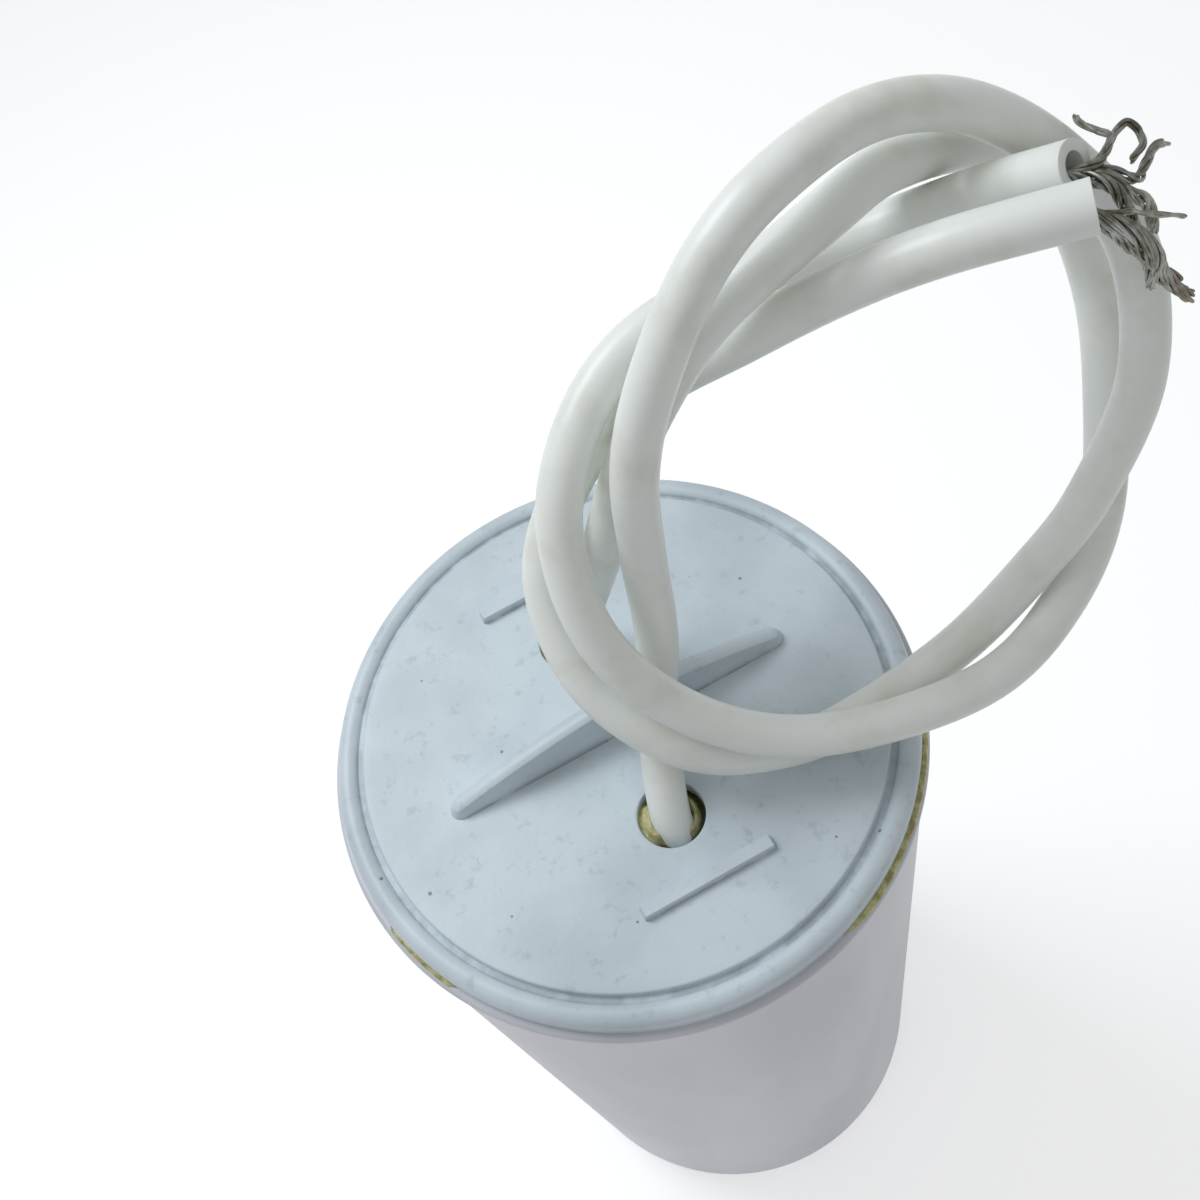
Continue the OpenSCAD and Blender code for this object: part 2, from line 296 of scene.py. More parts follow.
class Recipe:
    """A material being put together: its tree, its object coordinates and its shader."""

    def __init__(self, name: str) -> None:
        """Makes an empty material with a Principled shader.

        Args:
            name: Name of the finish.
        """
        self.material = bpy.data.materials.new(name)
        self.material.use_nodes = True
        self.tree = self.material.node_tree
        self.shader = self.tree.nodes["Principled BSDF"]
        self.place = add_node(self.tree, "TexCoord").outputs["Object"]

    def noise(self, size: float, detail: float = 2.0, rough: float = 0.5,
              stretch: tuple[float, float, float] | None = None) -> Socket:
        """Noise from 0 to 1 whose lumps are about size metres across.

        Args:
            size: Lump size in metres.
            detail: Number of finer layers.
            rough: Strength of the finer layers.
            stretch: Optional scale along X, Y and Z.

        Returns:
            The noise's output socket.
        """
        place = self.place
        if stretch:
            place = add_node(self.tree, "Mapping", {"Vector": place, "Scale": stretch}).outputs[0]
        return add_node(self.tree, "TexNoise", {"Vector": place, "Scale": 1 / size, "Detail": detail,
                                                "Roughness": rough}).outputs[0]

    def ramp(self, source: Socket, low: float, high: float) -> Socket:
        """0 where source is at or below low, 1 at or above high, smooth between."""
        return add_node(self.tree, "MapRange", {0: source, 1: low, 2: high, 3: 0.0, 4: 1.0},
                        interpolation_type="SMOOTHSTEP").outputs[0]

    def math(self, operation: str, first: Socket | float, second: Socket | float = 0.0) -> Socket:
        """Output of one Math node."""
        return add_node(self.tree, "Math", {0: first, 1: second}, operation=operation).outputs[0]

    def mix(self, share: Socket, first: Socket | tuple, second: Socket | tuple) -> Socket:
        """Colour first where share is 0 and second where it is 1."""
        return add_node(self.tree, "Mix", {0: share, 6: first, 7: second}, data_type="RGBA").outputs[2]

    def attribute(self, name: str) -> Socket:
        """A number that the mesh carries at its points."""
        return add_node(self.tree, "Attribute", attribute_name=name).outputs["Fac"]

    def bump(self, height: Socket, depth: float) -> None:
        """Adds a bump of the given depth in metres to the shader's normal."""
        node = add_node(self.tree, "Bump", {"Height": height, "Distance": depth, "Strength": 1.0})
        before = self.shader.inputs["Normal"].links
        if before:
            self.tree.links.new(before[0].from_socket, node.inputs["Normal"])
        self.tree.links.new(node.outputs[0], self.shader.inputs["Normal"])

    def colour(self, source: Socket) -> None:
        """Links the base colour."""
        self.tree.links.new(source, self.shader.inputs["Base Color"])

    def specks(self, spacing: float, size: float, share: float) -> Socket:
        """Small round specks, one in some of the cells of a grid of random cells.

        Args:
            spacing: Mean distance between cells in metres.
            size: Largest radius of a speck in metres.
            share: Share of the cells that hold one.

        Returns:
            A socket that is 1 in a speck and 0 elsewhere.
        """
        cells = add_node(self.tree, "TexVoronoi", {"Vector": self.place, "Scale": 1 / spacing})
        chance = add_node(self.tree, "SeparateColor", {0: cells.outputs["Color"]})
        radius = self.math("MULTIPLY", chance.outputs[1], size / spacing)
        inside = self.math("LESS_THAN", cells.outputs["Distance"], radius)
        return self.math("MULTIPLY", inside, self.math("LESS_THAN", chance.outputs[0], share))


@dataclass(frozen=True)
class LidPlastic:
    """Moulded flame-retardant PBT: pale blue grey, satin, with painted shade in its corners, dust patches and
    dark specks.
    """

    name: str = "moulded_pbt_lid"
    clean: str = "#d3dfe6"
    dull: str = "#c3cfd6"
    # grey of the dust patches and of the painted shade in the corners
    dust_and_shade: str = "#7f8a8f"
    speck: str = "#4e5557"
    rough: float = 0.42

    def build(self) -> bpy.types.Material:
        """Makes the material."""
        r = Recipe(self.name)
        # The moulding's tone drifts over about 9 mm.
        cloud = r.ramp(r.noise(9 * MM, 3.0), 0.35, 0.7)
        colour = r.mix(cloud, linear(self.clean), linear(self.dull))
        # Dust lies in thin patches about 1 mm across.
        dust = r.ramp(r.noise(1.1 * MM, 4.0, 0.6), 0.56, 0.74)
        colour = r.mix(r.math("MULTIPLY", dust, 0.25), colour, linear(self.dust_and_shade))
        # Painted shade, broken into patches, where the mesh is marked: in the groove and on the near side at
        # the feet of the rib and bars.
        corner_shade = r.math("MULTIPLY", r.attribute("shade"), r.ramp(r.noise(1.6 * MM, 3.0), 0.25, 0.6))
        colour = r.mix(corner_shade, colour, linear(self.dust_and_shade))
        # Specks of dirt, up to 0.3 mm across and up to 0.6 mm across, stand a few millimetres apart.
        fine, coarse = r.specks(1.5 * MM, 0.16 * MM, 0.25), r.specks(3.1 * MM, 0.3 * MM, 0.15)
        dots = r.math("MAXIMUM", fine, coarse)
        colour = r.mix(r.math("MULTIPLY", dots, 0.7), colour, linear(self.speck))
        r.colour(colour)
        r.shader.inputs["Roughness"].default_value = self.rough
        # Spark-eroded grain of the mould, and pits under the specks.
        r.bump(r.noise(0.35 * MM, 3.0), 0.012 * MM)
        r.bump(dots, -0.03 * MM)
        return r.material


@dataclass(frozen=True)
class CasePlastic:
    """Moulded PBT of the can: pale lavender grey, smooth, with a faint flow along its axis."""

    name: str = "moulded_pbt_case"
    clean: str = "#d4d6de"
    dull: str = "#c6c8d1"
    smudge: str = "#a9abb2"
    rough: float = 0.4

    def build(self) -> bpy.types.Material:
        """Makes the material."""
        r = Recipe(self.name)
        # Flow marks, drawn out along the can's axis to about 50 mm.
        flow = r.ramp(r.noise(12 * MM, 3.0, 0.5, (1.0, 1.0, 0.25)), 0.35, 0.7)
        colour = r.mix(flow, linear(self.clean), linear(self.dull))
        # Faint smudges of handling, about 3 mm across.
        smudge = r.ramp(r.noise(3 * MM, 4.0, 0.6), 0.6, 0.8)
        r.colour(r.mix(r.math("MULTIPLY", smudge, 0.15), colour, linear(self.smudge)))
        r.shader.inputs["Roughness"].default_value = self.rough
        r.bump(r.noise(0.6 * MM, 3.0), 0.01 * MM)
        return r.material


@dataclass(frozen=True)
class LeadInsulation:
    """Extruded PVC: white, softly translucent, with warm handling marks."""

    name: str = "extruded_pvc_white"
    clean: str = "#eff2ee"
    worn: str = "#dcdccf"
    # warm brown grey of painted crevice shade
    crevice_shade: str = "#a9a594"
    rough: float = 0.36

    def build(self) -> bpy.types.Material:
        """Makes the material."""
        r = Recipe(self.name)
        # Warm handling marks, about 4 mm across.
        marks = r.ramp(r.noise(4 * MM, 4.0, 0.55), 0.45, 0.75)
        colour = r.mix(r.math("MULTIPLY", marks, 0.6), linear(self.clean), linear(self.worn))
        # Painted crevice shade where the mesh's shade value is set; the tube is built with none, so it shows
        # nowhere.
        colour = r.mix(r.attribute("shade"), colour, linear(self.crevice_shade))
        r.colour(colour)
        r.shader.inputs["Roughness"].default_value = self.rough
        # Light goes about 1 mm into soft PVC, and red goes deepest.
        r.shader.inputs["Subsurface Weight"].default_value = 0.12
        r.shader.inputs["Subsurface Radius"].default_value = (1.0, 0.9, 0.7)
        r.shader.inputs["Subsurface Scale"].default_value = 1.0 * MM
        r.bump(r.noise(0.8 * MM, 2.0), 0.01 * MM)
        return r.material


@dataclass(frozen=True)
class TinnedStrand:
    """Tinned copper strands: dull grey with olive and brown oxide."""

    name: str = "tinned_copper"
    bright: str = "#a3a6a1"
    oxide: str = "#6f6c5b"
    tip: str = "#6a4a33"
    rough: float = 0.42

    def build(self) -> bpy.types.Material:
        """Makes the material."""
        r = Recipe(self.name)
        # Oxide has dulled the tin in patches about 1 mm long, and the marked tips are brown.
        patch = r.ramp(r.noise(1.2 * MM, 4.0, 0.6), 0.35, 0.65)
        colour = r.mix(patch, linear(self.bright), linear(self.oxide))
        colour = r.mix(r.attribute("shade"), colour, linear(self.tip))
        r.colour(colour)
        r.shader.inputs["Metallic"].default_value = 0.8
        r.shader.inputs["Roughness"].default_value = self.rough
        r.bump(r.noise(0.12 * MM, 2.0), 0.01 * MM)
        return r.material


@dataclass(frozen=True)
class SealingGlue:
    """Set epoxy glue: yellowish, glossy, slightly clear."""

    name: str = "set_epoxy_glue"
    pale: str = "#cdcb98"
    deep: str = "#8f8a4a"
    # dark olive of the painted shade on low glue
    moat: str = "#4a4526"
    rough: float = 0.22

    def build(self) -> bpy.types.Material:
        """Makes the material."""
        r = Recipe(self.name)
        # Thick and thin places change about every millimetre, and the marked low places get painted shade.
        patch = r.ramp(r.noise(1.0 * MM, 3.0, 0.6), 0.35, 0.7)
        colour = r.mix(patch, linear(self.pale), linear(self.deep))
        colour = r.mix(r.attribute("shade"), colour, linear(self.moat))
        r.colour(colour)
        r.shader.inputs["Roughness"].default_value = self.rough
        r.shader.inputs["Subsurface Weight"].default_value = 0.2
        r.shader.inputs["Subsurface Scale"].default_value = 0.6 * MM
        r.bump(r.noise(0.3 * MM, 2.0), 0.02 * MM)
        return r.material


@dataclass(frozen=True)
class InnerFinish:
    """Plain finish of a piece sealed inside the can: a colour, the size of its grain and its gloss."""

    name: str
    main: str
    other: str
    grain: float
    rough: float = 0.5
    metal: float = 0.0
    stretch: tuple[float, float, float] = (1.0, 1.0, 1.0)

    def build(self) -> bpy.types.Material:
        """Makes the material."""
        r = Recipe(self.name)
        patch = r.ramp(r.noise(self.grain, 4.0, 0.6, self.stretch), 0.35, 0.65)
        r.colour(r.mix(patch, linear(self.main), linear(self.other)))
        r.shader.inputs["Roughness"].default_value = self.rough
        r.shader.inputs["Metallic"].default_value = self.metal
        r.bump(r.noise(self.grain * 0.4, 3.0, 0.6, self.stretch), self.grain * 0.04)
        return r.material


def dress(piece: bpy.types.Object, finish: bpy.types.Material) -> None:
    """Gives a piece one finish, in its first material slot.

    Args:
        piece: The piece.
        finish: Its material.
    """
    if piece.data.materials:
        piece.data.materials[0] = finish
    else:
        piece.data.materials.append(finish)


def report(piece: bpy.types.Object) -> None:
    """Logs a piece's name and size."""
    LOG.info("%s: %d faces", piece.name, len(piece.data.polygons))


# ---------------------------------------------------------------- can and lid


@dataclass
class Can:
    """The moulded can: a closed wall with a rounded bottom edge and a thin lip at its rim."""

    radius: float = 22.5 * MM
    length: float = 92.0 * MM
    wall: float = 1.6 * MM
    floor: float = 2.0 * MM
    edge: float = 2.5 * MM
    inner_edge: float = 0.9 * MM
    lip: float = 0.4 * MM
    lip_out: float = 0.3 * MM
    steps: int = 256

    def profile(self) -> np.ndarray:
        """Section from the middle of the bottom, up the wall, over the lip and down inside.

        Returns:
            Points (r, z) in metres.
        """
        lip_centre = (self.radius + self.lip_out - self.lip, self.length - self.lip)
        root = self.length - self.lip - math.sqrt(self.lip**2 - (self.lip - self.lip_out) ** 2)
        inside = self.radius - self.wall
        return np.vstack([
            straight((HUB, 0.0), (self.radius - self.edge, 0.0), 12),
            arc((self.radius - self.edge, self.edge), self.edge, -90, 0, 14)[:-1],
            straight((self.radius, self.edge), (self.radius, root), 40),
            arc(lip_centre, self.lip, -75, 90, 14)[:-1],
            straight((lip_centre[0], self.length), (inside, self.length), 4),
            straight((inside, self.length), (inside, self.floor + self.inner_edge), 8),
            arc((inside - self.inner_edge, self.floor + self.inner_edge), self.inner_edge, 0, -90, 6),
            straight((inside - self.inner_edge, self.floor), (HUB, self.floor), 6)[1:],
            [[HUB, self.floor]],
        ])

    def build(self) -> bpy.types.Object:
        """Makes the can from its section.

        Returns:
            The can, which stands for the CAD model's cup.
        """
        surface = Surface()
        surface.add_grid(revolved(self.profile(), self.steps))
        piece = surface.to_object("can_body")
        dress(piece, CasePlastic().build())
        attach(piece, ROOT)
        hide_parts("case_cup")
        return piece


@dataclass
class Lid:
    """The moulded lid: plate, groove, bead, skirt, barrier rib and two low bars."""

    top: float = 94.0 * MM
    rim: float = 92.0 * MM
    plate: float = 20.0 * MM
    groove: float = 0.55 * MM
    bead: float = 0.95 * MM
    bead_out: float = 22.2 * MM
    bead_drop: float = 0.15 * MM
    skirt_out: float = 20.8 * MM
    skirt: float = 1.5 * MM
    skirt_depth: float = 4.5 * MM
    edge: float = 0.18 * MM
    fillet: float = 0.1 * MM  # at the foot of the groove's inner side
    below_bead: float = 0.05 * MM  # from the bead's middle down to the start of its straight side
    shade_in: float = 0.15 * MM  # the groove's painted shade comes in over this width
    shade_out: float = 0.75 * MM  # and ends this far beyond the plate
    shade_fade: float = 0.3 * MM
    shade_level: float = 0.5 * MM  # lowest place of the painted shade, above the rim
    crevice_shade: float = 0.5  # share of painted shade in the groove
    hole: float = 2.5 * MM
    hole_at: float = 8.25 * MM
    mouth: float = 0.12 * MM  # rounding of the holes' mouths
    past: float = 1.0 * MM  # how far a cutter runs past the faces that it cuts
    sunk: float = 0.4 * MM  # how deep the rib and the bars reach into the plate
    seat: float = 0.02 * MM  # how far their edges lie under its face
    rib_half: float = 14.2 * MM
    rib_height: float = 4.0 * MM
    rib_end: float = 0.8 * MM
    crest: float = 0.5 * MM
    foot: float = 0.45 * MM
    spread: float = 1.5 * MM
    crown: float = 0.12 * MM  # how much the crest is rounded
    ridge_y: float = 0.1 * MM  # the crest's middle, off the lid's middle
    bar_half: tuple[float, float] = (5.2 * MM, 0.55 * MM)
    bar_at: float = 13.7 * MM
    bar_height: float = 0.7 * MM
    bar_corner: float = 0.15 * MM
    bar_margin: float = 0.2 * MM  # from a bar's side to the edge of its grid
    steps: int = 288

    def profile(self) -> np.ndarray:
        """Section of the plate, groove, bead and skirt, from the middle of the top.

        Returns:
            Points (r, z) in metres.
        """
        centre = (self.bead_out - self.bead, self.top - self.bead_drop - self.bead)
        floor = self.top - self.groove
        lift = floor - centre[1]
        start = math.degrees(math.acos(-math.sqrt(1 - (lift / self.bead) ** 2)))
        inner = self.skirt_out - self.skirt
        return np.vstack([
            straight((HUB, self.top), (self.plate - self.edge, self.top), 40),
            arc((self.plate - self.edge, self.top - self.edge), self.edge, 90, 0, 6),
            straight((self.plate, floor + self.edge), (self.plate, floor + self.fillet), 1),
            arc((self.plate + self.fillet, floor + self.fillet), self.fillet, 180, 270, 3),
            arc(centre, self.bead, start, 0, 30),
            straight((self.bead_out, centre[1] - self.below_bead), (self.bead_out, self.rim), 4),
            straight((self.bead_out, self.rim), (self.skirt_out, self.rim), 2),
            straight((self.skirt_out, self.rim), (self.skirt_out, self.rim - self.skirt_depth), 4),
            straight((self.skirt_out, self.rim - self.skirt_depth), (inner, self.rim - self.skirt_depth), 2),
            straight((inner, self.rim - self.skirt_depth), (inner, self.rim), 4),
            straight((inner, self.rim), (HUB, self.rim), 12),
            [[HUB, self.rim]],
        ])

    def plate_piece(self) -> bpy.types.Object:
        """Turns the section and cuts the two lead holes, whose mouths are slightly rounded.

        Returns:
            The plate with its groove, bead and skirt.
        """
        surface = Surface()
        grid = revolved(self.profile(), self.steps)
        radius = np.hypot(grid[..., 0], grid[..., 1])
        inward = smooth((radius - self.plate) / self.shade_in)
        outward = smooth((self.plate + self.shade_out - radius) / self.shade_fade)
        upper = grid[..., 2] > self.rim + self.shade_level
        # Painted shade in the groove, carried on the mesh for the lid's finish.
        surface.add_grid(grid, value=self.crevice_shade * (inward * outward) * upper)
        piece = surface.to_object("lid_plate")
        mouth = np.vstack([
            [[self.hole, self.rim - self.past]],
            [[self.hole, self.top - self.mouth]],
            arc((self.hole + self.mouth, self.top - self.mouth), self.mouth, 180, 90, 4),
            [[self.hole + self.mouth, self.top + self.past]],
        ])
        for side in (-1, 1):
            cutter = Surface()
            cutter.add_grid(revolved(mouth, 96) + np.array([0.0, side * self.hole_at, 0.0]))
            tool = cutter.to_object("hole_cutter")
            cut = piece.modifiers.new("hole", "BOOLEAN")
            cut.operation, cut.solver, cut.object = "DIFFERENCE", "EXACT", tool
            apply_modifiers(piece)
            bpy.data.objects.remove(tool)
        piece.data.set_sharp_from_angle(angle=math.radians(35.0))
        return piece

    def rib_surface(self) -> Surface:
        """Barrier rib as a height over a grid: z = crest height(x) times fall(distance / reach).

        The crest falls from the middle to the ends as 1 - |x|^1.5. The distance is measured from a
        line segment, less the crest's half width; the reach is short on the steep side and at the
        ends, and long on the gentle side in the middle.

        Returns:
            The rib, closed under the plate's face.
        """
        x = self.rib_half * np.sin(np.linspace(-np.pi / 2, np.pi / 2, 321)) * 1.03
        y = np.linspace(-1.3 * MM, 3.4 * MM, 150)
        gx, gy = np.meshgrid(x, y, indexing="ij")
        share = np.clip(np.abs(gx) / self.rib_half, 0.0, 1.0)
        beyond = np.maximum(np.abs(gx) - (self.rib_half - self.crest - self.foot), 0.0)
        across = gy - self.ridge_y
        distance = np.hypot(beyond, across) - self.crest
        gentle = self.foot + self.spread * (1 - share) ** 0.8
        reach = np.where(across > 0, gentle, self.foot)
        reach = np.where(beyond > 0, self.foot, reach)
        height = self.rib_end + (self.rib_height - self.rib_end) * (1 - share**1.5)
        crown = self.crown * np.clip(1 + distance / self.crest, 0.0, 1.0) ** 2
        fall = 1.0 - smooth(distance / reach)
        z = self.top + (height - crown) * fall - self.seat
        # Painted shade on the rib's steep near side, darkest at its foot.
        dark = smooth((distance - 0.6 * reach) / (0.4 * self.foot)) * (across < 0) * 0.9
        return block_under(np.stack([gx, gy, z], axis=-1), self.top - self.sunk, dark, axis=1)

    def bar_surface(self, side: int) -> Surface:
        """Low bar as a height over a grid: flat top, sides that fall in a short smooth step.

        Args:
            side: -1 for the near bar, 1 for the far one.

        Returns:
            The bar, closed under the plate's face.
        """
        half_x, half_y = self.bar_half
        x = np.linspace(-half_x - self.bar_margin, half_x + self.bar_margin, 240)
        y = np.linspace(-half_y - self.bar_margin, half_y + self.bar_margin, 60)
        gx, gy = np.meshgrid(x, y, indexing="ij")
        dx = np.maximum(np.abs(gx) - half_x + self.bar_corner, 0.0)
        dy = np.maximum(np.abs(gy) - half_y + self.bar_corner, 0.0)
        distance = np.hypot(dx, dy) - self.bar_corner
        fall = smooth((distance + 0.1 * MM) / (0.22 * MM))
        z = self.top + self.bar_height * (1 - fall) - self.seat
        # Painted shade along the bar's near side, down to its foot.
        dark = smooth((distance + 0.05 * MM) / (0.12 * MM)) * (gy < 0) * 0.6
        top = np.stack([gx, gy + side * self.bar_at, z], axis=-1)
        return block_under(top, self.top - self.sunk, dark, axis=1)

    def build(self) -> list[bpy.types.Object]:
        """Makes the plate, the rib and the bars.

        Returns:
            The four pieces, of which the plate stands for the CAD model's lid.
        """
        finish = LidPlastic().build()
        pieces = [
            self.plate_piece(),
            self.rib_surface().to_object("lid_barrier_rib"),
            self.bar_surface(-1).to_object("lid_bar_near"),
            self.bar_surface(1).to_object("lid_bar_far"),
        ]
        for piece in pieces:
            dress(piece, finish)
            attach(piece, ROOT)
        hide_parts("end_cap")
        return pieces


def apply_modifiers(piece: bpy.types.Object) -> None:
    """Puts the result of a piece's modifiers into its mesh."""
    bpy.context.view_layer.update()
    evaluated = piece.evaluated_get(bpy.context.evaluated_depsgraph_get())
    mesh = bpy.data.meshes.new_from_object(evaluated)
    piece.modifiers.clear()
    piece.data = mesh


# ---------------------------------------------------------------- glue


@dataclass
class Glue:
    """Yellowish glue along part of the lid's seam and round each lead in its hole."""

    seam_radius: float = 22.2 * MM
    seam_level: float = 92.0 * MM
    hole: float = 2.5 * MM
    hole_at: float = 8.25 * MM
    seal_level: float = 92.6 * MM
    seal_foot: float = 92.0 * MM
    seal_top: float = 1.15 * MM  # the most that a seal rises over its level
    ridge_at: float = 1.75 * MM  # the ridge's crest, from the lead's middle
    ridge_width: float = 0.28 * MM
    ridge_height: float = 0.75
    fill_height: float = 0.85
    fill_angle: float = 165.0  # degrees, the side on which the glue fills the hole
    shade_depth: float = 0.45 * MM  # glue lower than this gets painted shade

    def seam_run(self, surface: Surface, start: float, end: float, size: float, seed: int) -> None:
        """Adds one lumpy run: a fillet whose size along the seam is size times a sum of sines.

        Args:
            surface: Surface that takes it.
            start: First angle in degrees.
            end: Last angle in degrees.
            size: Mean size in metres.
            seed: Seed of the lumps' phases.
        """
        phase = np.random.default_rng(seed).uniform(0, 2 * np.pi, 6)
        share = np.linspace(0, 1, 260)
        angle = np.radians(start + (end - start) * share)
        waves = zip((9, 23, 41, 67, 95, 140), phase)
        lumps = sum(np.sin(angle * k + p) / (1 + 0.08 * k) for k, p in waves)
        width = size * (1 + 0.22 * lumps / 2) * smooth(np.minimum(share, 1 - share) / 0.12)
        width = np.maximum(width, 0.01 * MM)
        round_about = np.radians(np.linspace(0, 360, 16, endpoint=False))[None]
        radius = self.seam_radius + 0.05 * MM + width[:, None] * np.cos(round_about)
        level = self.seam_level + 0.02 * MM + width[:, None] * np.sin(round_about)
        around = angle[:, None] + 0 * round_about
        grid = np.stack([radius * np.cos(around), radius * np.sin(around), level], axis=-1)
        surface.add_grid(grid)

    def seam_piece(self) -> bpy.types.Object:
        """Both runs of glue on the rim."""
        surface = Surface()
        self.seam_run(surface, -74, -26, 0.40 * MM, 3)
        self.seam_run(surface, -169, -150, 0.28 * MM, 5)
        return surface.to_object("seam_glue_runs")

    def seal_piece(self, side: int, wire_at: tuple[float, float]) -> bpy.types.Object:
        """Glue round one lead: a ridge that hugs the lead, with a moat on the near side.

        The height over the polar grid (rho, phi) about the hole is a floor, plus a ridge that peaks
        beside the lead, plus a fill that rises to the left of the hole.

        Args:
            side: -1 for the near hole, 1 for the far one.
            wire_at: Where the lead passes the glue, from the hole's middle.

        Returns:
            The glue's object.
        """
        rho = np.linspace(0.05 * MM, self.hole, 60)[:, None]
        phi = np.linspace(0, 2 * np.pi, 120, endpoint=False)[None]
        x, y = rho * np.cos(phi), rho * np.sin(phi)
        away = np.hypot(x - wire_at[0], y - wire_at[1])
        ridge = np.exp(-(((away - self.ridge_at) / self.ridge_width) ** 2))
        left = smooth((np.cos(phi - np.radians(self.fill_angle)) - 0.55) / 0.35)
        lumps = 0.12 * np.sin(5 * phi + 1.0) + 0.08 * np.sin(11 * phi)
        fill = self.fill_height * left * smooth((rho - 1.2 * MM) / (0.6 * MM))
        height = (self.ridge_height * ridge * (1 + lumps) + fill) * MM
        height = np.minimum(height, self.seal_top)
        # Painted shade where the glue lies low.
        dark = 1.0 - smooth(height / self.shade_depth)
        top = np.stack([x, y + side * self.hole_at, self.seal_level + height], axis=-1)
        surface = block_under(top, self.seal_foot, dark, axis=0)
        return surface.to_object("lead_seal_near" if side < 0 else "lead_seal_far")

    def build(self) -> list[bpy.types.Object]:
        """Makes the runs and both seals.

        Returns:
            The three pieces.
        """
        finish = SealingGlue().build()
        pieces = [
            self.seam_piece(),
            self.seal_piece(-1, (0.0, 0.1 * MM)),
            self.seal_piece(1, (0.0, -0.2 * MM)),
        ]
        for piece, node in zip(pieces, ("seam_glue", "lead_seal_a", "lead_seal_b")):
            dress(piece, finish)
            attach(piece, ROOT)
            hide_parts(node)
        return pieces


# ---------------------------------------------------------------- leads and strands

LID_TOP = np.array([0.0, 0.0, 94.0])
ROUTE_A = np.array([
    [0, -10, -13.4], [0, -10, -9], [0, -10, -5], [0, -8, 0], [2.5, -3, 5.5], [4.5, -1, 12],
    [5.5, 0.5, 19.5], [6.5, 1, 27.5], [9, 2, 33], [13.5, 3.5, 38], [18.5, 4.5, 40.5], [25.5, 6, 40],
    [31.5, 5.5, 37.5], [36, 2.5, 33.5], [38.5, -2, 28.5], [37, -6.5, 22], [33, -8.5, 14.5],
    [29, -9, 9.5], [23, -9.5, 5], [15.5, -9.5, 2.5], [9.5, -9, 2.5], [3, -7, 6], [-1, -1.5, 10.5],
    [-0.5, 4.5, 15.5], [4, 7.5, 20.5], [10, 7.5, 25], [16, 4.5, 29.5], [21, 1.5, 33.5],
    [25.5, -1.5, 36.5], [32, -5, 38.5]])
ROUTE_B = np.array([
    [0, 8.5, -11.4], [0, 8.5, -6], [0, 8.5, -3], [0, 8, 0.5], [1.5, 6.5, 6.5], [4, 5, 15],
    [6.5, 4.5, 22], [9.5, 4, 28.5], [14, 4, 33.5], [21.5, 4.5, 36], [27, 6, 35.5], [34, 7, 32],
    [39, 6, 26.5], [40.5, 2.5, 20], [39, -2, 15], [35, -8, 10], [29.5, -11.5, 7], [23, -13, 5.5],
    [14.5, -11.5, 5], [8, -9, 6.5], [3, -5.5, 11], [0.5, -1.5, 17], [1.5, 3, 23], [5.5, 6.5, 27],
    [11, 8.5, 29], [18.5, 8.5, 29.5], [25, 6.5, 30.5], [30.5, 3, 33.5], [33.5, -1.5, 37.5]])


@dataclass
class Wisp:
    """One bundle of strands: its route in millimetres over the lid, and how it is made up."""

    route: list[tuple[float, float, float]]
    strands: int = 6
    spread: float = 0.22
    tip: float = 0.12
    turns: float = 1.5
    brown_tip: bool = False


